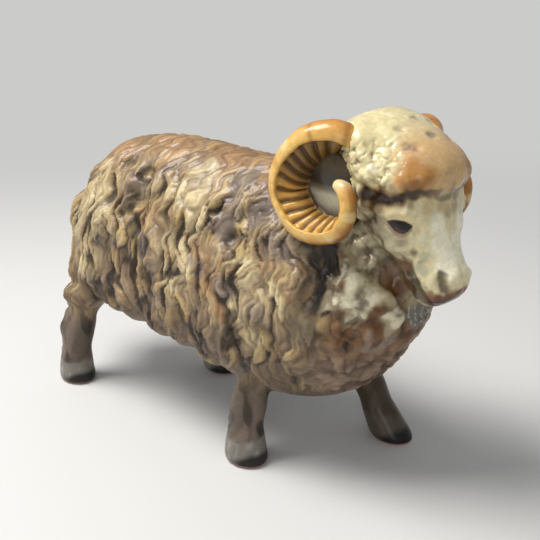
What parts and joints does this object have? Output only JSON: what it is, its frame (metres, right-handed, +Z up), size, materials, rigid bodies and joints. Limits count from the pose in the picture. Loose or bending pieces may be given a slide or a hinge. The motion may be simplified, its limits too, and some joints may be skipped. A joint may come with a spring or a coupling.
{
  "type": "ceramic ram figurine",
  "caption": "Glazed earthenware figurine of a walking ram with curled horns and a modelled wavy fleece, standing on its hooves.",
  "frame": {"origin": "on the standing plane, under the middle of the figurine's box", "axes": "+X is the way the ram faces, +Y is its left side, +Z is up"},
  "size_m": [0.1658, 0.0574, 0.1112],
  "materials": {
    "fleece_glaze": "gloss",
    "face_glaze": "gloss",
    "horn_glaze": "gloss",
    "leg_glaze": "gloss"
  },
  "bodies": {
    "root": {"body_casting": "fleece_glaze", "head_casting": "face_glaze", "right_horn": "horn_glaze", "left_horn": "horn_glaze", "right_foreleg": "leg_glaze", "left_foreleg": "leg_glaze", "right_hind_leg": "leg_glaze", "left_hind_leg": "leg_glaze", "tail": "fleece_glaze"}
  },
  "joints": []
}
